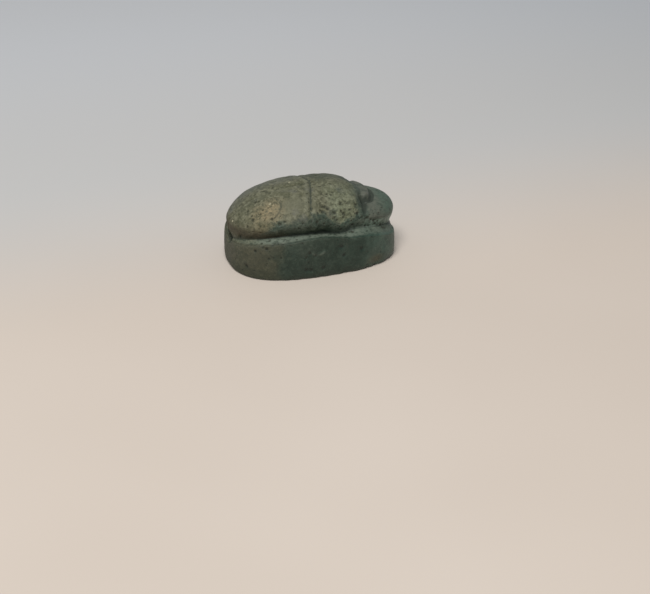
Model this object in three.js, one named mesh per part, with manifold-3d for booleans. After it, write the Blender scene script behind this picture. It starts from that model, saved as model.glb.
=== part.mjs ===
// Scarab amulet: one carved piece of dark green stone, a beetle on an oval base.
// Millimetres, +Z up, head towards +X, flat underside on z = 0.
import * as THREE from 'three';
import { mergeVertices } from 'three/addons/utils/BufferGeometryUtils.js';
import Module from 'manifold-3d';

// ---------- driving dimensions ----------
const BASE_LENGTH = 22.5;      // oval base, along X
const BASE_WIDTH = 15.0;       // oval base, along Y
const BASE_SQUARENESS = 2.6;   // exponent of the oval: 2 is an ellipse
const SHOULDER_X = -0.3;       // highest part of the back, from which all directions are measured
const THORAX_FRONT_X = 6.35;   // front edge of the thorax
const CLYPEUS_FRONT_X = 7.95;  // front edge of the raised middle of the head
const CLYPEUS_HALF_WIDTH = 2.6;
const CLYPEUS_RISE = 0.6;
const FOOT_BEVEL = 0.35;       // worn lower edge of the base
const EDGE_ROUND = 0.3;        // upper edge of the base
const WALL_BULGE = 0.03;       // the base wall is very slightly convex
const CLYPEUS_ROUND = 0.3;
const CLYPEUS_TILT = THREE.MathUtils.degToRad(9); // it slopes down forwards
const HEAD_CLEAR_Z = 5.3;      // just above the edge of the base at the head
const BORE_RADIUS = 0.85;      // lengthwise piercing
const BORE_FLARE = 0.15;       // its mouths are worn wider by this much
const BORE_HEIGHT = 4.1;
const DOME_ACROSS = 2.4;       // rounding of the back: how flat it stays ...
const DOME_DROP = 1.9;         // ... and how steeply it then falls

// Heights and insets at equal steps from the head (0 deg) round to the tail
// (180 deg), the same on both flanks.
const EDGE_HEIGHT = [3.2, 3.5, 4.5, 4.95, 5.5, 5.4, 5.0, 4.45, 3.8];     // top edge of the base
const GROOVE_HEIGHT = [3.6, 4.4, 5.1, 5.0, 5.5, 5.6, 5.5, 4.9, 4.05];    // bottom of the groove
const BODY_INSET = [-0.15, 0.9, 1.95, 1.35, 1.15, 0.95, 1.1, 0.75, 0.0]; // body inside the base outline
const BODY_HEIGHT = [5.7, 5.9, 6.5, 6.7, 6.85, 7.05, 6.8, 6.3, 6.0];     // widest line of the body
const UNDERCUT = [0.45, 0.6, 0.6, 0.75, 0.8, 0.8, 0.7, 0.45, 0.3];       // groove below that line

// Profile along the centre line, of the back and of the head: first station, step, heights.
const BACK_LINE = { start: -11.5, step: 3, z: [8.4, 9.75, 9.92, 10.03, 10.12, 10.25, 9.5, 9.2, 10.0] };
const HEAD_LINE = { start: 5.5, step: 2, z: [8.2, 8.4, 8.9, 9.5] };

// Incised lines: radius of the cut, and how far its middle lies above the stone.
const SHOULDER_LINE = { radius: 0.42, lift: 0.2 };
const SUTURE = { radius: 0.4, lift: 0.3 };
const NECK_GROOVE = { radius: 0.48, lift: 0.1 };

// ---------- resolution ----------
const COLUMNS = 92;
const BACK_ROWS = 17;
const WALL_ROWS = [2, 2, 2, 3, 2, 2, 3, 2]; // samples in each stretch of the side profile, widest line downwards
const CUT_SIDES = 7;

// ---------- small functions ----------
const clamp = THREE.MathUtils.clamp;
const ramp = (x, a, b) => THREE.MathUtils.smoothstep(x, a, b);
const spline = (f, a, b, c, d) =>
  0.5 * (2 * b + (c - a) * f + (2 * a - 5 * b + 4 * c - d) * f * f + (3 * b - a - 3 * c + d) * f ** 3);

// a value given at equal angular steps from head to tail, mirrored on the far flank
function around(phi, values) {
  const last = values.length - 1;
  const turn = Math.abs(THREE.MathUtils.euclideanModulo(phi + Math.PI, 2 * Math.PI) - Math.PI);
  const a = (turn / Math.PI) * last;
  const i = Math.min(Math.floor(a), last - 1);
  const after = i + 2 > last ? 2 * last - (i + 2) : i + 2;
  return spline(a - i, values[Math.abs(i - 1)], values[i], values[i + 1], values[after]);
}

// height of the centre line at x
function along(x, line) {
  const z = line.z, n = z.length;
  const a = (x - line.start) / line.step;
  const i = clamp(Math.floor(a), 0, n - 2);
  const f = clamp(a - i, -0.5, 1.5);
  const before = i > 0 ? z[i - 1] : 2 * z[0] - z[1];
  const after = i + 2 < n ? z[i + 2] : 2 * z[n - 1] - z[n - 2];
  return spline(f, before, z[i], z[i + 1], after);
}

// distance from the shoulder point to the base outline in direction phi
function outline(phi) {
  let near = 0, far = BASE_LENGTH;
  for (let n = 0; n < 40; n += 1) {
    const r = (near + far) / 2;
    const f = Math.abs((SHOULDER_X + r * Math.cos(phi)) / (BASE_LENGTH / 2)) ** BASE_SQUARENESS
      + Math.abs((r * Math.sin(phi)) / (BASE_WIDTH / 2)) ** BASE_SQUARENESS;
    if (f < 1) near = r; else far = r;
  }
  return (near + far) / 2;
}

// side profile in direction phi: [distance out, height], widest line of the body down to the foot
function sideProfile(phi) {
  const r = outline(phi);
  const edge = around(phi, EDGE_HEIGHT), groove = around(phi, GROOVE_HEIGHT);
  const widest = around(phi, BODY_HEIGHT), cut = around(phi, UNDERCUT);
  const body = r - around(phi, BODY_INSET), deep = body - cut;
  return [
    [body, widest],
    [body - 0.28 * cut, groove + 0.62 * (widest - groove)],
    [deep, groove + 0.1],
    [deep + 0.2 * (r - deep), groove - 0.1],
    [r - EDGE_ROUND, edge - 0.02],
    [r - 0.07, edge - EDGE_ROUND - 0.02],
    [r + WALL_BULGE, edge * 0.45],
    [r - 0.05, FOOT_BEVEL],
    [r - FOOT_BEVEL, 0],
  ];
}

// Surface point. v runs 0 to 1 over the dome, from the shoulder point out to
// the widest line, then one unit for each stretch of the side profile.
const STRETCHES = WALL_ROWS.length;
function skin(phi, v, line = BACK_LINE, spread = 0) {
  const p = sideProfile(phi);
  let r, z;
  if (v <= 1) {
    const s = Math.sin((v * Math.PI) / 2);
    r = s * (p[0][0] + spread);
    const dome = Math.max(0, 1 - s ** DOME_ACROSS) ** (1 / DOME_DROP);
    z = p[0][1] + (along(SHOULDER_X + r * Math.cos(phi), line) - p[0][1]) * dome;
  } else {
    const w = Math.min(v - 1, STRETCHES);
    const i = Math.min(Math.floor(w), STRETCHES - 1);
    const a = i > 0 ? p[i - 1] : [p[0][0], p[0][1] + 0.6];
    const d = i + 2 <= STRETCHES ? p[i + 2] : p[STRETCHES];
    r = spline(w - i, a[0], p[i][0], p[i + 1][0], d[0]);
    z = spline(w - i, a[1], p[i][1], p[i + 1][1], d[1]);
  }
  return new THREE.Vector3(SHOULDER_X + r * Math.cos(phi), r * Math.sin(phi), Math.max(0, z));
}

// surface point under (x, y), pushed out along the normal by lift
function onSkin(x, y, lift, line) {
  const phi = Math.atan2(y, x - SHOULDER_X), r = Math.hypot(x - SHOULDER_X, y);
  const s = Math.min(1, r / sideProfile(phi)[0][0]);
  const v = Math.max(0.002, (Math.asin(s) * 2) / Math.PI), e = 1e-3;
  const acrossV = skin(phi, v + e, line).sub(skin(phi, v - e, line));
  const acrossPhi = skin(phi + e, v, line).sub(skin(phi - e, v, line));
  return skin(phi, v, line).addScaledVector(acrossV.cross(acrossPhi).normalize(), lift);
}

// ---------- column directions: equal steps along the oval outline ----------
function columnDirections(count) {
  const steps = 720, sum = [0];
  const at = (k) => {
    const phi = (k / steps) * 2 * Math.PI, r = outline(phi);
    return new THREE.Vector2(SHOULDER_X + r * Math.cos(phi), r * Math.sin(phi));
  };
  for (let k = 1; k <= steps; k += 1) sum.push(sum[k - 1] + at(k).distanceTo(at(k - 1)));
  const out = [];
  for (let i = 0, k = 0; i < count; i += 1) {
    const want = (i / count) * sum[steps];
    while (sum[k + 1] <= want) k += 1;
    out.push(((k + (want - sum[k]) / (sum[k + 1] - sum[k])) / steps) * 2 * Math.PI);
  }
  return out;
}

// ---------- closed skins, as a sphere grid laid over surface points ----------
function gridBody(rows, bottom, point) {
  const directions = columnDirections(COLUMNS);
  const grid = new THREE.SphereGeometry(1, COLUMNS, rows.length);
  const position = grid.getAttribute('position');
  for (let j = 0; j <= rows.length; j += 1) {
    for (let i = 0; i <= COLUMNS; i += 1) {
      const p = j === rows.length ? bottom : point(directions[i % COLUMNS], rows[j]);
      position.setXYZ(j * (COLUMNS + 1) + i, p.x, p.y, p.z);
    }
  }
  return grid;
}

const domeRows = Array.from({ length: BACK_ROWS }, (_, i) => i / BACK_ROWS);

// base, groove and body, with the back carried on over the head
function wholeBody() {
  const rows = [...domeRows];
  WALL_ROWS.forEach((n, k) => {
    for (let i = 0; i < n; i += 1) rows.push(1 + k + i / n);
  });
  rows.push(1 + STRETCHES); // rim of the flat underside
  return gridBody(rows, new THREE.Vector3(SHOULDER_X, 0, 0), (phi, v) => skin(phi, v));
}

// the lower dome of the head, standing on a plain column
function headDome() {
  const column = (phi, v) => {
    const p = skin(phi, Math.min(v, 1), HEAD_LINE, 0.02);
    return v > 1 ? p.setZ(1) : p;
  };
  return gridBody([...domeRows, 1, 2], new THREE.Vector3(SHOULDER_X, 0, 1), column);
}

// front edge of the thorax, seen from above
const neckX = (y) => THORAX_FRONT_X - 0.17 * Math.sqrt(y * y + 0.3);

// everything above the groove and in front of the thorax
function frontBlock() {
  const plan = new THREE.Shape(), reach = 9;
  plan.moveTo(16, -reach);
  plan.lineTo(16, reach);
  for (let i = 12; i >= -12; i -= 1) plan.lineTo(neckX((i / 12) * reach), (i / 12) * reach);
  plan.closePath();
  return new THREE.ExtrudeGeometry(plan, { depth: 8, bevelEnabled: false }).translate(0, 0, HEAD_CLEAR_Z);
}

// raised middle of the head
function clypeus() {
  const w = CLYPEUS_HALF_WIDTH - CLYPEUS_ROUND, back = THORAX_FRONT_X - 1, plan = new THREE.Shape();
  plan.moveTo(back, -w);
  for (let i = -5; i <= 5; i += 1) {
    const y = (i / 5) * w;
    plan.lineTo(CLYPEUS_FRONT_X - CLYPEUS_ROUND - 0.12 * y * y, y);
  }
  plan.lineTo(back, w);
  plan.closePath();
  const top = onSkin(CLYPEUS_FRONT_X, 0, CLYPEUS_RISE, HEAD_LINE), depth = 1.8;
  return new THREE.ExtrudeGeometry(plan, {
    depth, bevelEnabled: true, bevelThickness: CLYPEUS_ROUND, bevelSize: CLYPEUS_ROUND, bevelSegments: 3,
  })
    .translate(-CLYPEUS_FRONT_X, 0, -depth - CLYPEUS_ROUND)
    .rotateY(CLYPEUS_TILT)
    .translate(CLYPEUS_FRONT_X, 0, top.z);
}

// a round-bottomed line swept along surface points
function lineCut(points, radius, steps) {
  const section = new THREE.Shape();
  for (let i = 0; i < CUT_SIDES; i += 1) {
    const a = (i / CUT_SIDES) * 2 * Math.PI;
    if (i === 0) section.moveTo(radius, 0); else section.lineTo(radius * Math.cos(a), radius * Math.sin(a));
  }
  section.closePath();
  return new THREE.ExtrudeGeometry(section, {
    steps, bevelEnabled: false, extrudePath: new THREE.CatmullRomCurve3(points),
  });
}

// line between thorax and wing cases, seen from above
const shoulderX = (y) => 0.05 - 0.335 * Math.sqrt(y * y + 0.1);

function shoulderCut() {
  const points = [], reach = 6.05, half = 11;
  for (let i = -half; i <= half; i += 1) {
    const y = (i / half) * reach, ay = Math.abs(y);
    const x = shoulderX(y);
    points.push(onSkin(x, y, SHOULDER_LINE.lift + 0.12 * ramp(ay, 4.5, 6)));
  }
  return lineCut(points, SHOULDER_LINE.radius, 26);
}

function sutureCut() {
  const points = [];
  for (let i = 0; i <= 9; i += 1) points.push(onSkin(-0.3 - (i / 9) * 9.9, 0.01, SUTURE.lift));
  return lineCut(points, SUTURE.radius, 14);
}

function neckCut(side) {
  const points = [];
  for (let i = 0; i <= 7; i += 1) {
    const y = CLYPEUS_HALF_WIDTH + 0.15 + (i / 7) * 2.6;
    points.push(onSkin(neckX(y) + 0.3, side * y, NECK_GROOVE.lift, HEAD_LINE));
  }
  const last = points[points.length - 1];
  points.push(last.clone().add(new THREE.Vector3(-0.12, side * 0.25, -0.9)));
  return lineCut(points, NECK_GROOVE.radius, 12);
}

// ---------- the lengthwise piercing, wider at both mouths ----------
function piercing() {
  const half = BASE_LENGTH / 2, profile = [[0, -half - 2]];
  for (const [x, flare] of [[-half - 2, 1], [-half, 1], [-half + 1.2, 0], [half - 1.2, 0], [half, 1], [half + 2, 1]]) {
    profile.push([BORE_RADIUS + BORE_FLARE * flare, x]);
  }
  profile.push([0, half + 2]);
  const tool = new THREE.LatheGeometry(profile.map(([r, x]) => new THREE.Vector2(r, x)), 20);
  return tool.rotateZ(-Math.PI / 2).translate(0, 0, BORE_HEIGHT);
}

// ---------- solids ----------
const wasm = await Module();
wasm.setup();

function solid(geometry) {
  const plain = geometry.index ? geometry.clone() : geometry;
  for (const name of Object.keys(plain.attributes)) if (name !== 'position') plain.deleteAttribute(name);
  const merged = mergeVertices(plain, 1e-4);
  const index = merged.index.array, keep = [];
  for (let i = 0; i < index.length; i += 3) {
    const [a, b, c] = [index[i], index[i + 1], index[i + 2]];
    if (a !== b && b !== c && c !== a) keep.push(a, b, c);
  }
  return new wasm.Manifold(new wasm.Mesh({
    numProp: 3,
    vertProperties: new Float32Array(merged.getAttribute('position').array),
    triVerts: new Uint32Array(keep),
  }));
}

function geometryOf(body) {
  const mesh = body.getMesh();
  const geometry = new THREE.BufferGeometry();
  geometry.setAttribute('position', new THREE.BufferAttribute(new Float32Array(mesh.vertProperties), 3));
  geometry.setIndex(new THREE.BufferAttribute(new Uint32Array(mesh.triVerts), 1));
  return geometry;
}

const headroom = solid(frontBlock()).subtract(solid(headDome()));
let body = solid(wholeBody()).subtract(headroom).add(solid(clypeus()));
for (const cut of [neckCut(1), neckCut(-1), shoulderCut(), sutureCut(), piercing()]) {
  body = body.subtract(solid(cut));
}
const carved = geometryOf(body);
carved.computeBoundingBox();
const middle = carved.boundingBox.getCenter(new THREE.Vector3());
carved.translate(-middle.x, -middle.y, -carved.boundingBox.min.z);
carved.computeVertexNormals();

const stone = new THREE.MeshStandardMaterial({ color: new THREE.Color('#5c6050'), roughness: 0.72, metalness: 0 });
const scarab = new THREE.Mesh(carved, stone);
scarab.name = 'scarab';

const amulet = new THREE.Group();
amulet.add(scarab);

export default amulet;
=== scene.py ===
import math

import bpy
import numpy as np
from mathutils import Matrix, Vector
from mathutils.kdtree import KDTree


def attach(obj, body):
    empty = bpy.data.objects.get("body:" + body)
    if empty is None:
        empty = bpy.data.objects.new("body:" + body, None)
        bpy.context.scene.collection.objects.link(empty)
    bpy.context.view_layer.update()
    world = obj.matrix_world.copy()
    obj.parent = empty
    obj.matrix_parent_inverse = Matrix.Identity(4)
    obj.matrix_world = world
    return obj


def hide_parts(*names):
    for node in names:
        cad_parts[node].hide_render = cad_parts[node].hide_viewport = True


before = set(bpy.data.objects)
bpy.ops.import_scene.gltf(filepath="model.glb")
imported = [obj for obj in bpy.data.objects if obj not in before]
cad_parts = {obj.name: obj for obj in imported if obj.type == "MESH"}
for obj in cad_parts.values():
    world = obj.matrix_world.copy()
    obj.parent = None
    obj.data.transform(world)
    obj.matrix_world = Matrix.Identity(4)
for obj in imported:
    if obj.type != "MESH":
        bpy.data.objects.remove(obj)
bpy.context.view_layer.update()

# ------------------------------------------------------------------
# Named sizes, in millimetres. The beetle's head points along +X.
# ------------------------------------------------------------------
BASE_LENGTH, BASE_WIDTH, SQUARENESS = 22.5, 15.0, 2.6
SHOULDER_X = -0.3
CLYPEUS_FRONT_X, CLYPEUS_HALF_WIDTH, CLYPEUS_RISE = 7.85, 2.6, 0.6
FOOT_BEVEL, EDGE_ROUND, WALL_BULGE = 0.35, 0.3, 0.03
BORE_RADIUS, BORE_FLARE, BORE_HEIGHT = 0.85, 0.15, 4.1
DOME_ACROSS, DOME_DROP = 2.4, 1.9
CENTRE_SHIFT = -0.06                     # puts the middle of the solid on x = 0

# equal angular steps, head (0 deg) to tail (180 deg)
EDGE_HEIGHT = [3.2, 3.5, 4.5, 4.95, 5.5, 5.4, 5.0, 4.45, 3.8]
GROOVE_HEIGHT = [3.6, 4.4, 5.1, 5.0, 5.5, 5.6, 5.5, 4.9, 4.05]
BODY_INSET = [-0.15, 0.9, 1.95, 1.35, 1.15, 0.95, 1.1, 0.75, 0.0]
BODY_HEIGHT = [5.7, 5.9, 6.5, 6.7, 6.85, 7.05, 6.8, 6.3, 6.0]
UNDERCUT = [0.45, 0.6, 0.6, 0.75, 0.8, 0.8, 0.7, 0.45, 0.3]
BACK_LINE = (-11.5, 3.0, [8.4, 9.75, 9.92, 10.03, 10.12, 10.25, 9.5, 9.2, 10.0])
HEAD_LINE = (5.5, 2.0, [8.2, 8.4, 8.9, 9.5])

GRID = 140                                # cells across the back and the underside
ROWS = [11, 9, 4, 12, 7, 20, 17, 7]       # rows in each stretch of the side profile
STRETCHES = len(ROWS)

rng = np.random.default_rng(20)


# ------------------------------------------------------------------
# Small functions on arrays
# ------------------------------------------------------------------
def ramp(x, a, b):
    t = np.clip((x - a) / (b - a), 0, 1)
    return t * t * (3 - 2 * t)


def bump(x, centre, width):
    return np.exp(-(((x - centre) / width) ** 2))


def spline(f, a, b, c, d):
    return 0.5 * (2 * b + (c - a) * f + (2 * a - 5 * b + 4 * c - d) * f * f + (3 * b - a - 3 * c + d) * f ** 3)


def around(phi, values):
    v = np.array(values, float)
    last = len(v) - 1
    a = np.abs((phi + np.pi) % (2 * np.pi) - np.pi) / np.pi * last
    i = np.clip(np.floor(a).astype(int), 0, last - 1)
    j = np.where(i + 2 > last, 2 * last - (i + 2), i + 2)
    return spline(a - i, v[np.abs(i - 1)], v[i], v[i + 1], v[j])


def along(x, line):
    start, step, z = line
    z = np.array(z, float)
    n = len(z)
    a = (x - start) / step
    i = np.clip(np.floor(a).astype(int), 0, n - 2)
    f = np.clip(a - i, -0.5, 1.5)
    before = np.where(i > 0, z[np.maximum(i - 1, 0)], 2 * z[0] - z[1])
    after = np.where(i + 2 < n, z[np.minimum(i + 2, n - 1)], 2 * z[-1] - z[-2])
    return spline(f, before, z[i], z[i + 1], after)


def noise(p, freq, seed):
    """Smooth value noise, -1 to 1, seeded by a lattice hash."""
    q = p * freq + seed * 17.31
    i = np.floor(q).astype(np.int64)
    f = q - i
    u = f * f * f * (f * (f * 6 - 15) + 10)

    def corner(dx, dy, dz):
        n = ((i[:, 0] + dx) * 73856093) ^ ((i[:, 1] + dy) * 19349663) ^ ((i[:, 2] + dz) * 83492791) ^ (seed * 97531)
        n = n & 0xFFFFFFFF
        n = ((n ^ (n >> 15)) * 2246822519) & 0xFFFFFFFF
        n = ((n ^ (n >> 13)) * 3266489917) & 0xFFFFFFFF
        n = n ^ (n >> 16)
        return (n & 0xFFFF) / 32767.5 - 1

    def mix(a, b, t):
        return a + (b - a) * t

    x, y, z = u[:, 0], u[:, 1], u[:, 2]
    low = mix(mix(corner(0, 0, 0), corner(1, 0, 0), x), mix(corner(0, 1, 0), corner(1, 1, 0), x), y)
    high = mix(mix(corner(0, 0, 1), corner(1, 0, 1), x), mix(corner(0, 1, 1), corner(1, 1, 1), x), y)
    return mix(low, high, z)


def fractal(p, freq, seed, octaves=3, gain=0.5):
    total, amount, size = 0, 0, 1
    for k in range(octaves):
        total = total + size * noise(p, freq * 2.03 ** k, seed + 7 * k)
        amount += size
        size *= gain
    return total / amount


# ------------------------------------------------------------------
# The smooth skin of the carving
# ------------------------------------------------------------------
def outline(phi):
    c, s = np.cos(phi), np.sin(phi)
    near, far = np.zeros_like(phi), np.full_like(phi, BASE_LENGTH)
    for _ in range(40):
        r = (near + far) / 2
        f = np.abs((SHOULDER_X + r * c) / (BASE_LENGTH / 2)) ** SQUARENESS + np.abs(r * s / (BASE_WIDTH / 2)) ** SQUARENESS
        near, far = np.where(f < 1, r, near), np.where(f < 1, far, r)
    return (near + far) / 2


def neck_x(y):
    return 6.35 - 0.17 * np.sqrt(y * y + 0.3)


def shoulder_x(y):
    return 0.16 - (0.335 - 0.11 * ramp(y, 0.7, 2.5)) * np.sqrt((y - 0.7) ** 2 + 0.1)


def centre_line(x, y):
    neck = neck_x(y)
    k = ramp(x, neck - 0.5 - 0.5 * ramp(np.abs(y), 2.0, 4.0), neck + 0.25)
    return along(x, BACK_LINE) * (1 - k) + along(x, HEAD_LINE) * k


def side_profile(phi):
    r = outline(phi)
    edge, groove = around(phi, EDGE_HEIGHT), around(phi, GROOVE_HEIGHT)
    widest, cut = around(phi, BODY_HEIGHT), around(phi, UNDERCUT)
    body = r - around(phi, BODY_INSET)
    deep = body - cut
    zero = 0 * r
    return [
        (body, widest),
        (body - 0.28 * cut, groove + 0.62 * (widest - groove)),
        (deep, groove + 0.1),
        (deep + 0.2 * (r - deep), groove - 0.1),
        (r - EDGE_ROUND, edge - 0.02),
        (r - 0.07, edge - EDGE_ROUND - 0.02),
        (r + WALL_BULGE, edge * 0.45),
        (r - 0.05, zero + FOOT_BEVEL),
        (r - FOOT_BEVEL, zero),
    ]


def disc_cells(n):
    """A square grid bent into a disc whose rim points are evenly spaced: radius, angle."""
    t = np.linspace(-1, 1, n + 1)
    a, b = np.meshgrid(t, t, indexing="ij")
    a, b = math.sqrt(2) * np.sin(a * math.pi / 4), math.sqrt(2) * np.sin(b * math.pi / 4)
    u, v = a * np.sqrt(1 - b * b / 2), b * np.sqrt(1 - a * a / 2)
    return np.minimum(np.hypot(u, v), 1.0).ravel(), np.arctan2(v, u).ravel()


def even_directions():
    phi = np.linspace(0, 2 * np.pi, 2881)
    r = outline(phi)
    x, y = SHOULDER_X + r * np.cos(phi), r * np.sin(phi)
    s = np.concatenate([[0], np.cumsum(np.hypot(np.diff(x), np.diff(y)))])
    s *= 2 * np.pi / s[-1]
    return lambda theta: np.interp(theta % (2 * np.pi), s, phi)


def smooth_mesh():
    """Points, their place on the skin (v) and direction (phi), and quads facing out."""
    n = GRID
    to_phi = even_directions()
    rho, theta = disc_cells(n)
    phi = to_phi(theta)
    rim_radius, rim_height = side_profile(phi)[0]
    s = np.sin(rho * np.pi / 2)
    s[rho > 0.999999] = 1
    r = s * rim_radius
    x, y = SHOULDER_X + r * np.cos(phi), r * np.sin(phi)
    dome = np.clip(1 - s ** DOME_ACROSS, 0, 1) ** (1 / DOME_DROP)
    z = rim_height + (centre_line(x, y) - rim_height) * dome + head_relief(x, y) * ramp(1 - s, 0, 0.12)
    points, place, turn = [np.stack([x, y, z], 1)], [rho], [phi]
    cell = np.arange((n + 1) ** 2).reshape(n + 1, n + 1)
    quads = [np.stack([cell[:-1, :-1], cell[1:, :-1], cell[1:, 1:], cell[:-1, 1:]], -1).reshape(-1, 4)]

    # the rim of the grid, anticlockwise from -45 degrees
    rim = np.concatenate([cell[n, :n], cell[n:0:-1, n], cell[0, n:0:-1], cell[:n, 0]])
    rim_phi = to_phi(-np.pi / 4 + np.arange(4 * n) * 2 * np.pi / (4 * n))
    p = side_profile(rim_phi)
    ring, count = rim, (n + 1) ** 2
    for k in range(STRETCHES):
        a = p[k - 1] if k > 0 else (p[0][0], p[0][1] + 0.6)
        d = p[k + 2] if k + 2 <= STRETCHES else p[STRETCHES]
        for j in range(1, ROWS[k] + 1):
            f = j / ROWS[k]
            r = spline(f, a[0], p[k][0], p[k + 1][0], d[0])
            z = np.maximum(spline(f, a[1], p[k][1], p[k + 1][1], d[1]), 0)
            points.append(np.stack([SHOULDER_X + r * np.cos(rim_phi), r * np.sin(rim_phi), z], 1))
            place.append(np.full(4 * n, 1 + k + f))
            turn.append(rim_phi)
            below = count + np.arange(4 * n)
            count += 4 * n
            quads.append(np.stack([ring, below, np.roll(below, -1), np.roll(ring, -1)], 1))
            ring = below

    # the flat underside, sharing the last ring
    r = rho * (outline(phi) - FOOT_BEVEL)
    under = np.stack([SHOULDER_X + r * np.cos(phi), r * np.sin(phi), 0 * r], 1)
    inner = np.ones((n + 1) ** 2, bool)
    inner[rim] = False
    index = np.zeros((n + 1) ** 2, int)
    index[inner] = count + np.arange(inner.sum())
    index[rim] = ring
    points.append(under[inner])
    place.append(np.full(inner.sum(), 2.0 + STRETCHES))
    turn.append(phi[inner])
    cell = index.reshape(n + 1, n + 1)
    quads.append(np.stack([cell[:-1, :-1], cell[:-1, 1:], cell[1:, 1:], cell[1:, :-1]], -1).reshape(-1, 4))
    return np.concatenate(points), np.concatenate(place), np.concatenate(turn), np.concatenate(quads)


def normals_of(points, quads):
    d1, d2 = points[quads[:, 2]] - points[quads[:, 0]], points[quads[:, 3]] - points[quads[:, 1]]
    face = np.cross(d1, d2)
    out = np.zeros_like(points)
    for k in range(4):
        for axis in range(3):
            out[:, axis] += np.bincount(quads[:, k], face[:, axis], len(points))
    return out / (np.linalg.norm(out, axis=1, keepdims=True) + 1e-12)


def relax(values, quads, rounds):
    """Mean of the neighbours along quad edges, repeated."""
    a = np.concatenate([quads[:, k] for k in range(4)])
    b = np.concatenate([quads[:, (k + 1) % 4] for k in range(4)])
    count = np.maximum(np.bincount(a, minlength=len(values)) + np.bincount(b, minlength=len(values)), 1)
    v = np.array(values, float)
    flat = v.ndim == 1
    v = v[:, None] if flat else v
    for _ in range(rounds):
        v = np.stack([
            (np.bincount(a, v[b, k], len(v)) + np.bincount(b, v[a, k], len(v))) / count for k in range(v.shape[1])
        ], 1)
    return v[:, 0] if flat else v


def soft_normals(points, quads):
    """Normals smoothed over the neighbours, so that relief cut along them never folds at an edge."""
    n = relax(normals_of(points, quads), quads, 40)
    return n / (np.linalg.norm(n, axis=1, keepdims=True) + 1e-12)


# ------------------------------------------------------------------
# Carving, wear and pits
# ------------------------------------------------------------------
# Marks that show: x, y, z of the middle, radius, depth.
MARKS = [
    (-8.98, -3.49, 7.57, 0.26, 0.13), (-6.93, -4.87, 7.98, 0.22, 0.11), (-7.85, -1.10, 8.87, 0.24, 0.12),
    (-7.50, -1.30, 8.99, 0.22, 0.10), (-6.10, 0.67, 9.40, 0.28, 0.08), (-7.38, 0.59, 9.10, 0.22, 0.08),
    (-4.92, 0.76, 9.64, 0.24, 0.07), (-6.13, -5.65, 7.45, 0.26, 0.13), (-5.49, -5.71, 7.72, 0.20, 0.10),
    (-1.77, -4.36, 9.37, 0.24, 0.12), (-1.79, -5.22, 8.91, 0.26, 0.13), (0.94, -3.39, 9.69, 0.22, 0.11),
    (1.48, -3.59, 9.63, 0.22, 0.11), (0.02, -5.13, 8.82, 0.24, 0.12), (0.36, -5.42, 8.57, 0.24, 0.12),
    (-0.42, -5.66, 8.39, 0.26, 0.10), (2.13, -5.69, 8.12, 0.24, 0.12), (2.32, -6.05, 7.37, 0.22, 0.12),
    (-1.35, -6.39, 7.36, 0.26, 0.12), (-0.21, 0.14, 10.08, 0.20, 0.07), (-9.71, -3.50, 6.74, 0.20, 0.10),
    (4.55, -5.35, 7.30, 0.28, 0.16), (5.20, -5.20, 6.70, 0.22, 0.14), (3.86, -5.36, 5.79, 0.28, 0.15),
    (2.13, -5.69, 5.54, 0.26, 0.12), (3.77, -5.60, 4.98, 0.30, 0.14), (8.25, -4.08, 4.65, 0.24, 0.10),
    (8.89, -4.21, 4.20, 0.26, 0.12), (-8.35, -5.66, 4.60, 0.24, 0.09), (-7.21, -6.16, 4.80, 0.22, 0.08),
    (1.62, -7.47, 3.93, 0.32, 0.15), (4.46, -7.24, 3.17, 0.30, 0.13), (1.92, -7.50, 2.71, 0.26, 0.12),
    (-2.67, -7.44, 3.65, 0.24, 0.10), (-1.93, -7.49, 3.30, 0.24, 0.10), (-3.10, -7.41, 1.34, 0.32, 0.13),
    (-2.51, -7.46, 1.26, 0.32, 0.13), (-0.85, -7.51, 1.37, 0.28, 0.11), (-10.16, -4.33, 1.62, 0.28, 0.12),
    (-8.01, -6.04, 4.47, 0.24, 0.11), (-9.28, -5.19, 3.98, 0.24, 0.11), (-6.04, -6.58, 5.08, 0.20, 0.08),
    (-8.36, -5.12, 4.88, 0.22, 0.08), (-7.36, -5.24, 5.16, 0.20, 0.07), (7.24, -4.62, 5.12, 0.24, 0.10),
    (8.52, -4.38, 4.33, 0.26, 0.10), (5.97, -5.25, 6.43, 0.26, 0.12), (6.97, -4.94, 5.74, 0.28, 0.12),
    (7.60, -4.75, 5.50, 0.22, 0.10), (6.45, -5.10, 6.00, 0.22, 0.10),
]
# Painted glints: small bright spots that stand for highlights, x, y, z, radius.
PAINTED_GLINTS = [(-10.90, -0.95, 6.59, 0.20), (-2.58, 1.10, 9.95, 0.22), (-6.45, -2.75, 9.05, 0.20), (-6.9, -3.3, 8.85, 0.14),
          (-6.1, -3.2, 9.0, 0.13), (9.3, -3.9, 4.4, 0.22), (-3.4, 0.2, 10.0, 0.12)]
# Chips along the lower edge and the upper edge of the base.
CHIPS = [
    (-1.04, -7.44, 0.15, 0.32, 0.11), (2.07, -7.44, 0.20, 0.38, 0.17), (5.44, -7.00, 0.10, 0.42, 0.19),
    (6.75, -6.62, 0.20, 0.62, 0.22), (8.83, -5.59, 0.20, 0.50, 0.13), (-6.60, -6.90, 0.10, 0.50, 0.10),
    (0.45, -7.47, 0.20, 0.62, 0.12), (2.75, -7.38, 0.25, 0.55, 0.10), (-3.61, -7.33, 0.25, 0.45, 0.07),
    (7.75, -6.20, 0.10, 0.28, 0.12), (-5.02, -7.10, 0.20, 0.40, 0.07), (4.60, -7.14, 0.15, 0.26, 0.08),
    (1.50, 7.45, 0.20, 0.80, 0.18), (-7.00, 6.40, 0.15, 0.60, 0.14), (10.6, 2.40, 0.20, 0.70, 0.15),
    (3.90, 7.10, 5.00, 0.50, 0.12), (-4.40, 7.20, 5.00, 0.45, 0.10),
]


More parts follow.
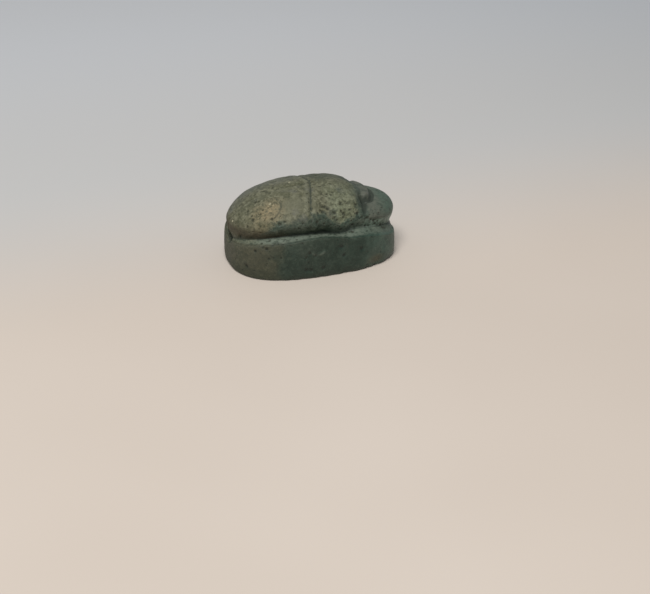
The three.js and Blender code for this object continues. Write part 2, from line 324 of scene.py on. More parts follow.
def near_marks(points, marks):
    """Sum of round hollows: depth to cut, and how far inside a hollow each point is."""
    order = np.argsort(points[:, 0])
    xs = points[order, 0]
    depth, inside = np.zeros(len(points)), np.zeros(len(points))
    for x, y, z, radius, cut in marks:
        lo, hi = np.searchsorted(xs, [x - 2.4 * radius, x + 2.4 * radius])
        pick = order[lo:hi]
        q = ((points[pick] - (x, y, z)) ** 2).sum(1) / radius ** 2
        g = np.exp(-q)
        depth[pick] += cut * g
        inside[pick] = np.maximum(inside[pick], g)
    return depth, inside


def head_relief(x, y):
    """Heights added to the dome: the raised middle of the head and the lines cut beside it."""
    ay = np.abs(y)
    neck = neck_x(y) + 0.2
    ahead = ramp(x, neck - 0.65, neck - 0.05)
    nose = x + 0.12 * y * y
    front = 1 - ramp(nose, CLYPEUS_FRONT_X - 0.3, CLYPEUS_FRONT_X + 0.3)
    sides = 1 - ramp(ay, CLYPEUS_HALF_WIDTH - 0.25, CLYPEUS_HALF_WIDTH + 0.15)
    d = (CLYPEUS_RISE + 0.16) * ahead * front * sides
    d -= 0.26 * bump(ay, CLYPEUS_HALF_WIDTH + 0.25, 0.22) * ahead * (1 - ramp(nose, CLYPEUS_FRONT_X - 0.1, CLYPEUS_FRONT_X + 0.5))
    d -= 0.30 * bump(nose, CLYPEUS_FRONT_X + 0.42, 0.24) * (1 - ramp(ay, CLYPEUS_HALF_WIDTH + 0.1, CLYPEUS_HALF_WIDTH + 0.6))
    # line across the neck, and hollows at the rear corners of the raised middle
    outside = ramp(ay, 1.9, 2.6)
    d -= 0.24 * bump(x, neck, 0.17) * outside
    d -= 0.10 * bump(x, neck - 0.55, 0.16) * (1 - outside)
    for side in (-1, 1):
        d -= 0.55 * np.exp(-(((x - 6.1) / 0.36) ** 2 + ((y - side * 2.8) / 0.36) ** 2))
    return d


def carve(points, place, normal):
    """Larger carving on the body: stone left (+) or cut away (-) along the normal."""
    x, y, z = points.T
    ay = np.abs(y)
    body = 1 - ramp(place, 2.6, 3.4)
    d = 0 * x
    line = shoulder_x(y)
    fade = 1 - 0.55 * ramp(ay, 4.3, 6.2)
    d -= 0.26 * bump(x, line, 0.22) * fade
    d += 0.09 * bump(x, line - 0.5, 0.32) * fade
    d -= 0.07 * bump(x, line - 1.05, 0.2) * fade * (1 - ramp(ay, 3.0, 5.0))
    d -= 0.14 * bump(y, 0.03, 0.16) * ramp(-x, 0.3, 0.7)
    # the neck line runs down the flank
    d -= 0.11 * bump(x, neck_x(y) + 0.2, 0.22) * ramp(place, 0.55, 0.8)
    # remains of the legs: low slanting ridges in the undercut
    under = ramp(place, 0.93, 1.15) * (1 - ramp(place, 2.1, 2.9))
    for centre, lean, rise in ((-6.6, 0.55, 0.10), (-1.9, -0.45, 0.13), (2.6, 0.5, 0.12), (-9.6, 0.2, 0.08)):
        d += rise * bump(x + lean * (z - 6.2), centre, 0.34) * under
        d -= 0.6 * rise * bump(x + lean * (z - 6.2), centre + 0.62, 0.24) * under
    # the slot where a hind leg ends beside the tail
    for side in (-1, 1):
        q = ((x + 10.35) / 0.16) ** 2 + ((y - side * 2.25) / 0.5) ** 2 + ((z - 4.8) / 0.5) ** 2
        d -= 0.28 * np.exp(-q)
    return d * body


def random_marks(points, place, quads):
    """Pits scattered by area: many on the body, fewer on the base."""
    corner = points[quads]
    area = np.linalg.norm(np.cross(corner[:, 2] - corner[:, 0], corner[:, 3] - corner[:, 1]), axis=1)
    middle, at = corner.mean(1), place[quads].mean(1)
    marks = []
    thorax = ramp(middle[:, 0], -1.5, 0.2) * (1 - ramp(middle[:, 0], 4.4, 5.4)) * ramp(np.abs(middle[:, 1]), 2.0, 4.0)
    for count, weight, radii, depth in (
        (190, (at < 1.6) * (0.5 + 1.9 * thorax), (0.12, 0.25), 0.50),
        (650, (at < 2.4) * (0.8 + 0.8 * thorax), (0.08, 0.13), 0.40),
        (70, (at >= 2.4) & (at < 8.6), (0.10, 0.22), 0.36),
        (260, (at >= 2.4) & (at < 8.6), (0.08, 0.12), 0.34),
        (90, at > 8.6, (0.09, 0.22), 0.30),
    ):
        chance = area * weight
        for f in rng.choice(len(quads), count, p=chance / chance.sum()):
            radius = radii[0] + (radii[1] - radii[0]) * rng.random() ** 2
            marks.append((*middle[f], radius, depth * radius * (0.6 + 0.8 * rng.random())))
    return marks


def crescent(x, y, z):
    """A small raised crescent on the near side wall of the base."""
    return bump(np.hypot(x + 1.6, z - 4.35), 1.05, 0.13) * (1 - ramp(z, 3.5, 3.85)) * (y < 0)


def fine_surface():
    points, place, turn, quads = smooth_mesh()
    normal = soft_normals(points, quads)
    underside = place > STRETCHES + 1.5
    foot = ramp(place, 8.0, 9.0)
    # larger carving
    points = points + normal * carve(points, place, normal)[:, None]
    points += (relax(points, quads, 3) - points) * bump(place, 1.0, 0.2)[:, None]
    normal = soft_normals(points, quads)

    # hand-worked unevenness, wear and grain
    x, y, z = points.T
    body = 1 - ramp(place, 2.4, 3.2)
    lip = bump(place, 5.1, 0.55)
    soft = fractal(points, 0.33, 3)
    mid = fractal(points, 1.1, 11)
    fine = fractal(points, 2.9, 23, 2)
    grain = noise(points, 6.3, 31)
    d = body * (0.045 * soft + 0.030 * mid + 0.016 * fine + 0.008 * grain)
    d += (1 - body) * (0.050 * soft + 0.022 * mid + 0.008 * fine + 0.004 * grain)
    d += lip * (0.05 * noise(points, 1.5, 41) + 0.03 * noise(points, 3.3, 43))
    d *= 1 - 0.75 * foot
    marks_cut, marks_in = near_marks(points, MARKS)
    pits_cut, pits_in = near_marks(points, random_marks(points, place, quads))
    chips_cut, chips_in = near_marks(points, CHIPS)
    d -= marks_cut + pits_cut
    # a crescent on the near wall
    wall = ramp(place, 4.8, 5.4) * (1 - foot)
    arc = crescent(x, y, z) * wall
    d += 0.07 * arc
    d[underside] = np.minimum(d[underside], 0)
    flat = underside | (place >= STRETCHES + 0.999)
    d = np.where(flat, np.minimum(d, 0) - 0.0, d)
    # chips are cut slantwise into the edge, the same way on the wall and on the face beside it
    slant = np.stack([x, y, np.where(z < 2.5, -0.9, 0.9) * np.hypot(x, y)], 1)
    slant /= np.linalg.norm(slant, axis=1, keepdims=True) + 1e-9
    points = points + normal * d[:, None] - slant * chips_cut[:, None]
    eased = bump(place, 1.0, 0.15) * 0.7 + bump(place, 8.9, 0.25) * (place < STRETCHES + 0.999)
    points += (relax(points, quads, 2) - points) * eased[:, None]
    points[:, 2] = np.maximum(points[:, 2], 0)
    points[:, 2] = np.where(flat & (pits_in + chips_in < 0.05), 0, points[:, 2])

    # what the material reads
    normal = normals_of(points, quads)
    near, far = relax(points, quads, 3), relax(points, quads, 30)
    hollow_near = ((near - points) * normal).sum(1)
    hollow_far = ((far - points) * normal).sum(1)
    pit = np.clip(np.maximum(marks_in, pits_in * 0.9), 0, 1)
    # painted glints: bright spots that stand for highlights
    painted_glint = near_marks(points, [(*g, 0) for g in PAINTED_GLINTS])[1]
    return dict(points=points, painted_glint=painted_glint, quads=quads, place=place, pit=pit, near=hollow_near, far=hollow_far,
                chip=chips_in, normal=normal)


def mesh_object(name, points, quads):
    mesh = bpy.data.meshes.new(name)
    mesh.vertices.add(len(points))
    mesh.vertices.foreach_set("co", (points * 1e-3).astype(np.float32).ravel())
    mesh.loops.add(quads.size)
    mesh.loops.foreach_set("vertex_index", quads.astype(np.int32).ravel())
    mesh.polygons.add(len(quads))
    mesh.polygons.foreach_set("loop_start", np.arange(0, quads.size, quads.shape[1], dtype=np.int32))
    mesh.update(calc_edges=True)
    mesh.validate()
    piece = bpy.data.objects.new(name, mesh)
    bpy.context.scene.collection.objects.link(piece)
    return piece


def bore_cutter():
    half, sides = BASE_LENGTH / 2, 56
    stations = [(-half - 2, 1), (-half - 0.2, 1), (-half + 0.35, 0.55), (-half + 1.3, 0), (-1.0, -0.25), (1.0, -0.25),
                (half - 1.3, 0), (half - 0.35, 0.55), (half + 0.2, 1), (half + 2, 1)]
    t = np.arange(sides) * 2 * np.pi / sides
    rings = [np.stack([np.full(sides, x + CENTRE_SHIFT), (BORE_RADIUS + BORE_FLARE * f) * np.cos(t),
                       BORE_HEIGHT + (BORE_RADIUS + BORE_FLARE * f) * np.sin(t)], 1) for x, f in stations]
    mesh = bpy.data.meshes.new("bore_cutter")
    points = np.concatenate(rings) * 1e-3
    faces = [tuple(range(sides))[::-1]]
    for k in range(len(rings) - 1):
        for i in range(sides):
            j = (i + 1) % sides
            faces.append((k * sides + i, k * sides + j, (k + 1) * sides + j, (k + 1) * sides + i))
    faces.append(tuple((len(rings) - 1) * sides + i for i in range(sides)))
    mesh.from_pydata(points.tolist(), [], faces)
    mesh.update()
    cutter = bpy.data.objects.new("bore_cutter", mesh)
    bpy.context.scene.collection.objects.link(cutter)
    return cutter


def cut_bore(piece):
    cutter = bore_cutter()
    cut = piece.modifiers.new("bore", "BOOLEAN")
    cut.operation, cut.solver, cut.object = "DIFFERENCE", "EXACT", cutter
    bpy.context.view_layer.update()
    done = bpy.data.meshes.new_from_object(piece.evaluated_get(bpy.context.evaluated_depsgraph_get()))
    piece.modifiers.clear()
    piece.data = done
    bpy.data.objects.remove(cutter, do_unlink=True)


surface = fine_surface()
surface["points"][:, 0] += CENTRE_SHIFT
piece = mesh_object("carved_scarab", surface["points"], surface["quads"])
cut_bore(piece)
mesh = piece.data
mesh.name = "carved_scarab"

# masks for the material, carried over from the nearest point of the skin
tree = KDTree(len(surface["points"]))
for i, co in enumerate(surface["points"]):
    tree.insert(co, i)
tree.balance()
count = len(mesh.vertices)
co = np.empty(count * 3, np.float32)
mesh.vertices.foreach_get("co", co)
co = co.reshape(-1, 3).astype(float) * 1e3
found = [tree.find(p) for p in co]
source = np.array([f[1] for f in found])
apart = np.array([f[2] for f in found])
inside_bore = ramp(apart, 0.12, 0.5)

X, Y, Z = co[:, 0] - CENTRE_SHIFT, co[:, 1], co[:, 2]
place, up = surface["place"][source], surface["normal"][source][:, 2]
pit = surface["pit"][source] * (1 - inside_bore)
near, far = surface["near"][source], surface["far"][source]
painted_glint = surface["painted_glint"][source]

at = np.stack([X, Y, Z], 1)
wander = fractal(at, 0.45, 5)
ripple = fractal(at, 1.3, 9)
on_body = 1 - ramp(place, 1.5, 2.3)
head = ramp(X, neck_x(Y) - 0.4, neck_x(Y) + 0.5)
# the olive crust lies on the back and thins out down the flanks, sooner towards the head
floor_line = 4.2 + 3.25 * ramp(X, -10.3, -6.3) + 0.6 * ramp(X, -6.0, -3.6) - 1.35 * ramp(X, -0.3, 1.6)
crust = (1 - ramp(place, 2.2, 2.9)) * ramp(Z + 0.4 * wander + 0.4 * ripple, floor_line - 0.7, floor_line + 0.9)
front = ramp(X, neck_x(Y) - 2.2, neck_x(Y) - 0.1)
crust *= 1 - 0.8 * front
crust *= 1 - 0.6 * head
crust *= 1 - 0.35 * ramp(X, 7.4, 8.6)
# greyer in a few patches where the crust is worn off; the grey along the far rim of the back and the darker grey on
# top of the thorax are painted shade
rubbed_and_painted_shade = on_body * np.clip(ramp(Y + 0.8 * wander, 0.2 - 1.4 * ramp(X, -0.5, 1.0), 3.0 - 1.8 * ramp(X, -0.5, 1.0)) * 0.8 + ramp(wander + 0.6 * ripple, 0.25, 0.70) * 0.6, 0, 1)
crust *= 1 - 0.6 * rubbed_and_painted_shade
crust = np.maximum(crust, (1 - on_body) * 0.50 * (1 - ramp(X + 1.5 * wander, -9.0, -4.0)))
crust = np.maximum(crust, 0.4 * np.exp(-((X - 6.8) / 1.5) ** 2 - ((Z - 1.1) / 0.8) ** 2) * (place > 5) * (Y < 0))
crust = np.maximum(crust, 0.55 * (1 - ramp(X, -10.6, -9.6)) * (1 - ramp(place, 5.0, 5.5)))
brown = (1 - ramp(X, -6.5, -4.0)) * bump(Z, 5.6, 0.9) * (1 - ramp(place, 2.9, 3.2))
brown = np.maximum(brown, on_body * 0.25 * bump(X, 6.7, 0.9) * bump(np.abs(Y), 3.9, 1.0))
warm = np.exp(-(((X + 6.9) / 2.1) ** 2 + ((Y + 3.7) / 1.7) ** 2) ** 1.5) * on_body * (0.75 + 0.5 * ripple)
# painted shade: darker in hollows of the surface, in the groove under the body, and along the carved lines between
# thorax and wing cases and down the middle of the back
painted_shade_and_crust_edge = np.clip(far * 5.0, 0, 1)
painted_shade_and_crust_edge = np.maximum(painted_shade_and_crust_edge, 0.75 * bump(place, 2.95, 0.42) * (0.8 + 0.4 * ripple))
painted_shade_and_crust_edge *= 1 - 0.75 * ramp(X, -1.0, 3.5) * ramp(place, 0.8, 1.1)
groove_line_shade = np.clip(0.45 + 0.5 * ripple, 0, 1) * bump(X, shoulder_x(Y), 0.15) * (1 - 0.5 * ramp(np.abs(Y), 4.3, 6.2)) * on_body
groove_line_shade = np.maximum(groove_line_shade, 0.4 * bump(Y, 0.03, 0.12) * (X < -0.2) * (Z > 6.5))
painted_shade_and_crust_edge = np.maximum(painted_shade_and_crust_edge, groove_line_shade)
# painted shade on the front and side walls of the raised middle of the head, and in the hollows at its rear corners
nose = X + 0.12 * Y * Y
ahead = ramp(X, neck_x(Y) - 0.1, neck_x(Y) + 0.4) * on_body
knob_wall_shade = np.maximum(bump(nose, CLYPEUS_FRONT_X + 0.16, 0.26) * (np.abs(Y) < CLYPEUS_HALF_WIDTH + 0.1),
                       bump(np.abs(Y), CLYPEUS_HALF_WIDTH + 0.12, 0.26) * (nose < CLYPEUS_FRONT_X + 0.2))
painted_shade_and_crust_edge = np.maximum(painted_shade_and_crust_edge, 0.88 * knob_wall_shade * ahead)
painted_shade_and_crust_edge = np.maximum(painted_shade_and_crust_edge, np.exp(-(((X - 6.1) / 0.42) ** 2 + ((np.abs(Y) - 2.8) / 0.42) ** 2)) * on_body)
edge = np.clip(-far * 4.0, 0, 1)
knob = ahead * ramp(CLYPEUS_FRONT_X + 0.1 - nose, 0, 0.3) * (1 - ramp(np.abs(Y), CLYPEUS_HALF_WIDTH - 0.2, CLYPEUS_HALF_WIDTH + 0.1))
rubbed_and_painted_shade = np.maximum(rubbed_and_painted_shade, 0.9 * knob)
edge *= (1 - 0.9 * ahead) * (1 - 0.85 * bump(place, 1.1, 0.45)) * (1 - 0.6 * front * (1 - head))
edge = np.maximum(edge, 0.8 * bump(X, shoulder_x(Y) - 0.5, 0.32) * (1 - ramp(np.abs(Y), 4.5, 6.0)) * on_body)
# painted shade along the carved neck line down the side
painted_shade_and_crust_edge = np.maximum(painted_shade_and_crust_edge, 0.55 * bump(X, neck_x(Y) + 0.15, 0.17) * ramp(place, 0.5, 0.75) * (1 - ramp(place, 1.6, 2.2)) * (np.abs(Y) > 2.8))
# the curved edge of a patch of crust on the near wing case
painted_shade_and_crust_edge = np.maximum(painted_shade_and_crust_edge, (0.60 + 0.3 * ripple) * bump(np.hypot(X + 7.1, Y + 3.15), 1.88, 0.14) * (X > -7.0) * (Y < -2.1) * on_body)
# dust on the upward faces of the ledge, made lighter also as painted light from above; painted light that lifts the
# shade under the front of the body and in the near groove, and a painted highlight on the raised crescent
ledge_dust_and_painted_light = ramp(place, 3.25, 3.7) * (1 - ramp(place, 4.5, 4.95)) * ramp(up, 0.35, 0.8) * (1 - 0.9 * ramp(X, 3.5, 6.5)) * (0.25 + 0.75 * ramp(X, -9.6, -7.4))
ledge_dust_and_painted_light = np.maximum(ledge_dust_and_painted_light, (0.5 + (0.1 + 0.35 * ramp(X, 3.0, 5.5)) * (1 - ramp(Y, -3.0, -1.0))) * ramp(X, -1.0, 3.0) * ramp(place, 1.1, 1.9 - 0.4 * ramp(X, 3.0, 1.0)) * (1 - ramp(place, 2.8, 3.3)))
ledge_dust_and_painted_light = np.maximum(ledge_dust_and_painted_light, 0.7 * crescent(X, Y, Z) * (place > 5.2))
ledge_dust_and_painted_light = np.maximum(ledge_dust_and_painted_light, 0.7 * bump(place, 3.25, 0.5) * ramp(X, 0.5, 3.0) * (1 - ramp(X, 6.0, 7.2)) * (Y < 0))
bare = ramp(X, neck_x(Y) + 0.5, neck_x(Y) + 1.1) * (1 - ramp(place, 1.1, 1.9)) * (1 - knob)
# darker towards the bottom of the base wall and in a few patches on the near wall and the back; painted shade on the
# lower sides below the crust and on the lower side of the near wing case
low = (1 - ramp(Z + 0.3 * wander, 0.4, 2.2)) * (1 - ramp(X, 1.5, 5.0)) * (place > 4.5)
low = np.maximum(low, (1 - ramp(place, 2.8, 3.3)) * (1 - ramp(Z + 0.4 * wander + 0.3 * ripple, floor_line - 0.5, floor_line + 0.5)) * ramp(X, -8.5, -6.5) * (1 - ramp(X, -0.3, 1.2)))
near_wall = (place > 5) * (Y < 0) * (1 - ramp(Z, 3.2, 4.4))
low = np.maximum(low, near_wall * np.maximum(0.45 * bump(X, -6.6, 1.5), 0.5 * bump(X, -1.4, 1.7)))
low = np.maximum(low, on_body * np.maximum(0.5 * bump(X, -7.6, 1.5) * (1 - ramp(Z, 7.4, 8.3)) * (Y < 0), 0.35 * bump(X, 1.2, 1.3) * bump(Y, 0.8, 1.5)))
low = np.maximum(low, 0.45 * on_body * ramp(X, 3.6, 4.8) * (1 - head) * (place < 0.9))
calm = on_body * np.exp(-(((X + 4.0) / 1.6) ** 2 + ((Y + 4.2) / 1.35) ** 2) ** 2)
# painted light: the near side of the thorax made lighter
flank_painted_light = on_body * ramp(X, 0.0, 1.5) * (1 - front) * (1 - ramp(Y + 0.5 * wander, -4.0, -0.5)) * (1 - 0.4 * ramp(Y, -6.2, -4.4))
wall = ramp(place, 4.5, 5.0) * (1 - ramp(place, 8.4, 9.2)) * (0.85 + 0.3 * wander)
# the inside of the bore is darkened with the same painted shade
for name, values in dict(crust=crust, warm=warm, pit=pit, painted_shade_and_crust_edge=np.maximum(painted_shade_and_crust_edge, inside_bore), worn=edge,
                         ledge_dust_and_painted_light=ledge_dust_and_painted_light, brown=brown, wall=wall, painted_glint=painted_glint, rubbed_and_painted_shade=rubbed_and_painted_shade, bare=bare,
                         flank_painted_light=flank_painted_light, low=low, calm=calm).items():
    made = mesh.attributes.new(name, "FLOAT", "POINT")
    made.data.foreach_set("value", np.clip(values, 0, 1).astype(np.float32))
mesh.polygons.foreach_set("use_smooth", np.ones(len(mesh.polygons), bool))
mesh.update()


# ------------------------------------------------------------------
# Stone material
# ------------------------------------------------------------------
class Nodes:
    def __init__(self, name):
        self.material = bpy.data.materials.new(name)
        self.material.use_nodes = True
        self.tree = self.material.node_tree
        self.tree.nodes.clear()
        self.out = self.tree.nodes.new("ShaderNodeOutputMaterial")
        self.shader = self.tree.nodes.new("ShaderNodeBsdfPrincipled")
        self.link(self.shader.outputs[0], self.out.inputs["Surface"])

    def link(self, a, b):
        self.tree.links.new(a, b)

    def set(self, node, key, value):
        socket = node.inputs[key]
        if isinstance(value, bpy.types.NodeSocket):
            self.link(value, socket)
        else:
            socket.default_value = value

    def math(self, op, a, b=0.0, c=0.0, clamp=False):
        node = self.tree.nodes.new("ShaderNodeMath")
        node.operation, node.use_clamp = op, clamp
        for k, v in enumerate((a, b, c)):
            self.set(node, k, v)
        return node.outputs[0]

    def mix(self, factor, a, b, blend="MIX"):
        node = self.tree.nodes.new("ShaderNodeMix")
        node.data_type, node.blend_type, node.clamp_factor = "RGBA", blend, True
        self.set(node, 0, factor)
        self.set(node, 6, a)
        self.set(node, 7, b)
        return node.outputs[2]

    def step(self, value, low, high, start=0.0, end=1.0):
        node = self.tree.nodes.new("ShaderNodeMapRange")
        node.interpolation_type, node.clamp = "SMOOTHSTEP", True
        for key, v in zip(("Value", "From Min", "From Max", "To Min", "To Max"), (value, low, high, start, end)):
            self.set(node, key, v)
        return node.outputs["Result"]

    def read(self, name):
        node = self.tree.nodes.new("ShaderNodeAttribute")
        node.attribute_name = name
        return node.outputs["Fac"]

    def grid(self, scale):
        if not hasattr(self, "coords"):
            self.coords = self.tree.nodes.new("ShaderNodeTexCoord")
        node = self.tree.nodes.new("ShaderNodeMapping")
        self.link(self.coords.outputs["Object"], node.inputs["Vector"])
        node.inputs["Scale"].default_value = (scale, scale, scale)
        return node.outputs[0]

    def along_x(self):
        """Place along the beetle, in millimetres."""
        node = self.tree.nodes.new("ShaderNodeSeparateXYZ")
        self.link(self.grid(1000.0), node.inputs[0])
        return node.outputs[0]

    def noise(self, per_mm, detail=3.0, rough=0.55, warp=0.0, offset=0.0):
        node = self.tree.nodes.new("ShaderNodeTexNoise")
        self.link(self.grid(1000.0 * per_mm), node.inputs["Vector"])
        node.noise_dimensions = "4D"
        node.inputs["W"].default_value = offset
        node.inputs["Scale"].default_value = 1.0
        node.inputs["Detail"].default_value = detail
        node.inputs["Roughness"].default_value = rough
        node.inputs["Distortion"].default_value = warp
        return node.outputs[0]

    def cells(self, per_mm, feature="F1", randomness=1.0):
        node = self.tree.nodes.new("ShaderNodeTexVoronoi")
        node.feature = feature
        self.link(self.grid(1000.0 * per_mm), node.inputs["Vector"])
        node.inputs["Scale"].default_value = 1.0
        node.inputs["Randomness"].default_value = randomness
        return node.outputs["Distance"]


def stone_material():
    n = Nodes("stone_worn")
    crust, warm, pit = n.read("crust"), n.read("warm"), n.read("pit")
    painted_shade_and_crust_edge, worn, ledge_dust_and_painted_light = n.read("painted_shade_and_crust_edge"), n.read("worn"), n.read("ledge_dust_and_painted_light")
    brown, wall, painted_glint = n.read("brown"), n.read("wall"), n.read("painted_glint")
    rubbed_and_painted_shade = n.read("rubbed_and_painted_shade")
    calm = n.read("calm")
    even = n.math("MULTIPLY_ADD", wall, -0.6, 1.0)
    broad = n.noise(0.22, 2.0, 0.5, 0.4, 1.7)
    patch = n.noise(0.75, 3.0, 0.6, 0.6, 4.1)
    mottle = n.noise(2.1, 3.0, 0.6, 0.5, 7.3)
    grain = n.noise(5.5, 2.0, 0.6, 0.0, 9.9)
    dust = n.noise(13.0, 2.0, 0.6, 0.0, 2.4)

    # bare stone: dark green, clouded
    stone = n.mix(n.step(patch, 0.38, 0.62), (0.046, 0.072, 0.054, 1), (0.074, 0.106, 0.082, 1))
    stone = n.mix(n.step(broad, 0.45, 0.68, 0.0, 0.6), stone, (0.096, 0.106, 0.084, 1))
    stone = n.mix(n.math("MULTIPLY", even, n.step(mottle, 0.52, 0.66, 0.0, 0.6)), stone, (0.150, 0.182, 0.146, 1))
    stone = n.mix(n.math("MULTIPLY", even, n.step(mottle, 0.48, 0.36, 0.0, 0.7)), stone, (0.022, 0.038, 0.027, 1))
    # crust: olive and tan, granular
    olive = n.mix(n.step(patch, 0.36, 0.64), (0.102, 0.104, 0.060, 1), (0.146, 0.147, 0.094, 1))
    olive = n.mix(n.step(mottle, 0.50, 0.64, 0.0, 0.70), olive, (0.222, 0.222, 0.152, 1))
    olive = n.mix(n.step(mottle, 0.50, 0.38, 0.0, 0.7), olive, (0.050, 0.054, 0.032, 1))
    olive = n.mix(n.math("MULTIPLY", warm, n.step(mottle, 0.36, 0.58, 0.15, 1.0)), olive, (0.262, 0.205, 0.116, 1))
    olive = n.mix(n.math("MULTIPLY", warm, n.step(grain, 0.52, 0.66, 0.0, 0.8)), olive, (0.400, 0.330, 0.190, 1))
    spread = n.math("ADD", crust, n.math("MULTIPLY_ADD", mottle, 1.1, -0.55))
    colour = n.mix(n.math("MULTIPLY", n.math("MULTIPLY_ADD", wall, -0.35, 1.0), n.step(spread, 0.05, 0.85)), stone, olive)
    colour = n.mix(n.math("MULTIPLY", calm, 0.7), colour, (0.146, 0.147, 0.098, 1))
    # grey for worn-off crust; its darker grey on top of the thorax is painted shade
    grey = n.mix(n.step(n.along_x(), -1.0, 0.6), (0.150, 0.149, 0.126, 1), (0.068, 0.071, 0.056, 1))
    grey = n.mix(n.step(n.along_x(), 5.7, 6.4), grey, (0.140, 0.136, 0.113, 1))
    colour = n.mix(n.math("MULTIPLY", rubbed_and_painted_shade, n.step(patch, 0.35, 0.60, 0.3, 0.8)), colour, grey)
    colour = n.mix(n.math("MULTIPLY", brown, n.step(mottle, 0.30, 0.60, 0.55, 0.95)), colour, (0.064, 0.054, 0.034, 1))
    # painted shade for the sides of the base, with a cooler tint, eased towards the head where the wall turns away
    # from the lamp
    wall_painted_shade = n.mix(n.step(n.along_x(), -5.0, -1.5), (0.34, 0.45, 0.43, 1), (0.24, 0.38, 0.35, 1))
    wall_painted_shade = n.mix(n.step(n.along_x(), 3.0, 8.2), wall_painted_shade, (0.74, 1.0, 1.0, 1))
    # painted shade darkens the sides of the base; the ledge is pale with dust and with painted light; edges are worn
    colour = n.mix(n.math("MULTIPLY", wall, 0.9), colour, n.mix(1.0, colour, n.mix(n.step(crust, 0.05, 0.45), wall_painted_shade, (0.62, 0.58, 0.50, 1)), "MULTIPLY"))
    colour = n.mix(n.math("MULTIPLY", wall, n.step(crust, 0.1, 0.45, 0.0, 0.6)), colour, (0.071, 0.070, 0.047, 1))
    colour = n.mix(n.math("MULTIPLY", ledge_dust_and_painted_light, n.step(mottle, 0.36, 0.56, 0.2, 0.92)), colour,
                   n.mix(n.step(n.along_x(), 4.8, 6.4), (0.162, 0.196, 0.158, 1), (0.235, 0.325, 0.265, 1)))
    colour = n.mix(n.math("MULTIPLY", worn, n.step(grain, 0.36, 0.60, 0.1, 0.6)), colour, (0.175, 0.188, 0.142, 1))
    colour = n.mix(n.math("MULTIPLY", n.read("bare"), n.step(mottle, 0.34, 0.58, 0.35, 0.85)), colour,
                   n.mix(n.step(n.along_x(), 7.6, 9.6), (0.114, 0.124, 0.099, 1), (0.076, 0.119, 0.089, 1)))
    # painted shade on the lower sides and the near wing case; darker towards the bottom of the base wall and in a few
    # patches
    colour = n.mix(n.read("low"), colour, n.mix(1.0, colour, (0.66, 0.72, 0.68, 1), "MULTIPLY"))
    # painted light on the near side of the thorax
    colour = n.mix(n.read("flank_painted_light"), colour, n.mix(1.0, colour, (1.24, 1.36, 1.36, 1), "MULTIPLY"))
    # light grains
    colour = n.mix(n.math("MULTIPLY", even, n.step(dust, 0.56, 0.70, 0.0, 0.31)), colour, (0.300, 0.290, 0.205, 1))
    # dark in pits and specks; painted shade in hollows, grooves, under the body and inside the bore
    speck = n.math("MULTIPLY", n.step(n.cells(2.3), 0.28, 0.12), n.step(patch, 0.42, 0.60))
    speck = n.math("MAXIMUM", speck, n.math("MULTIPLY", n.step(n.cells(4.1), 0.28, 0.10), n.step(mottle, 0.46, 0.60, 0.0, 0.6)))
    dark = n.math("MAXIMUM", n.step(pit, 0.25, 0.85), n.math("MULTIPLY", speck, n.step(crust, 0.0, 0.6, 0.5, 1.0)))
    dark = n.math("MULTIPLY", dark, n.math("MULTIPLY_ADD", calm, -0.6, 1.0))
    colour = n.mix(n.math("MULTIPLY", dark, 0.78), colour, n.mix(wall, (0.026, 0.028, 0.016, 1), (0.011, 0.018, 0.013, 1)))
    colour = n.mix(n.step(painted_shade_and_crust_edge, 0.10, 0.85, 0.0, 0.82), colour, n.mix(brown, (0.031, 0.042, 0.032, 1), (0.034, 0.029, 0.018, 1)))
    # painted glints: bright spots that stand for highlights
    colour = n.mix(n.step(painted_glint, 0.35, 0.8, 0.0, 0.9), colour, (0.46, 0.43, 0.30, 1))
    n.set(n.shader, "Base Color", colour)
    rough = n.step(n.math("ADD", n.math("MULTIPLY", crust, 0.35), grain), 0.3, 0.95, 0.44, 0.74)
    n.set(n.shader, "Roughness", rough)
    n.shader.inputs["Specular IOR Level"].default_value = 0.35
    height = n.math("ADD", n.math("MULTIPLY", grain, 0.6), n.math("MULTIPLY", dust, 0.4))
    height = n.math("SUBTRACT", height, n.math("MULTIPLY", dark, 0.8))
    relief = n.tree.nodes.new("ShaderNodeBump")
    relief.inputs["Strength"].default_value = 0.8
    relief.inputs["Distance"].default_value = 0.00006
    n.link(height, relief.inputs["Height"])
    n.link(relief.outputs[0], n.shader.inputs["Normal"])
    return n.material


piece.data.materials.clear()
piece.data.materials.append(stone_material())
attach(piece, "root")
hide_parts("scarab")


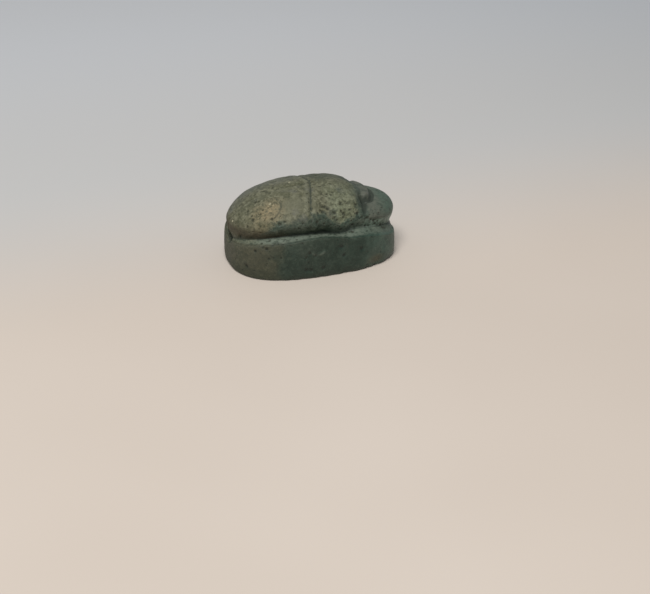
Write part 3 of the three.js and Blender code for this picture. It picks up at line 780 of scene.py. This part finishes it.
# ------------------------------------------------------------------
# Floor, light, camera
# ------------------------------------------------------------------
def floor_material():
    n = Nodes("floor_pale")
    tone = n.noise(0.02, 2.0, 0.5)
    apart = n.tree.nodes.new("ShaderNodeSeparateXYZ")
    n.grid(1.0)
    n.link(n.coords.outputs["Object"], apart.inputs[0])
    near = n.mix(n.step(tone, 0.3, 0.7), (0.69, 0.605, 0.535, 1), (0.72, 0.635, 0.565, 1))
    tint = n.mix(n.step(apart.outputs[1], -0.014, 0.036), near, (0.625, 0.622, 0.622, 1))
    tint = n.mix(n.step(apart.outputs[1], 0.03, 0.105), tint, (0.655, 0.672, 0.705, 1))
    cooler = n.mix(1.0, tint, (0.915, 0.93, 0.945, 1), "MULTIPLY")
    n.set(n.shader, "Base Color", n.mix(n.step(apart.outputs[0], 0.015, 0.14), tint, cooler))
    n.shader.inputs["Roughness"].default_value = 0.7
    return n.material


floor_mesh = bpy.data.meshes.new("floor")
floor_mesh.from_pydata([(-1.5, -1.0, 0), (1.5, -1.0, 0), (1.5, 3.0, 0), (-1.5, 3.0, 0)], [], [(0, 1, 2, 3)])
floor = bpy.data.objects.new("floor", floor_mesh)
bpy.context.scene.collection.objects.link(floor)
floor_mesh.materials.append(floor_material())


def area_light(name, place, target, size, power, colour):
    data = bpy.data.lights.new(name, "AREA")
    data.shape, data.size, data.energy, data.color = "DISK", size, power, colour
    lamp = bpy.data.objects.new(name, data)
    bpy.context.scene.collection.objects.link(lamp)
    aim = Vector(target) - Vector(place)
    lamp.matrix_world = Matrix.Translation(Vector(place)) @ aim.to_track_quat("-Z", "Y").to_matrix().to_4x4()
    return lamp


area_light("key", (-0.12, -0.16, 0.42), (0, 0, 0.004), 0.24, 1.65, (1.0, 0.98, 0.94))

world = bpy.data.worlds.new("studio")
bpy.context.scene.world = world
world.use_nodes = True
world.node_tree.nodes["Background"].inputs[0].default_value = (0.80, 0.82, 0.84, 1)
world.node_tree.nodes["Background"].inputs[1].default_value = 0.32

camera_data = bpy.data.cameras.new("camera")
camera_data.sensor_width, camera_data.lens = 36.0, 79.2
camera_data.sensor_fit = "HORIZONTAL"
camera_data.clip_start, camera_data.clip_end = 0.01, 20.0
camera = bpy.data.objects.new("camera", camera_data)
bpy.context.scene.collection.objects.link(camera)
turn = [math.radians(a) for a in (62.379, -0.869, -20.551)]
camera.rotation_euler = turn
camera.location = (-0.05929, -0.16021, 0.08271)
bpy.context.scene.camera = camera
bpy.context.scene.view_settings.view_transform = "Standard"
bpy.context.view_layer.update()
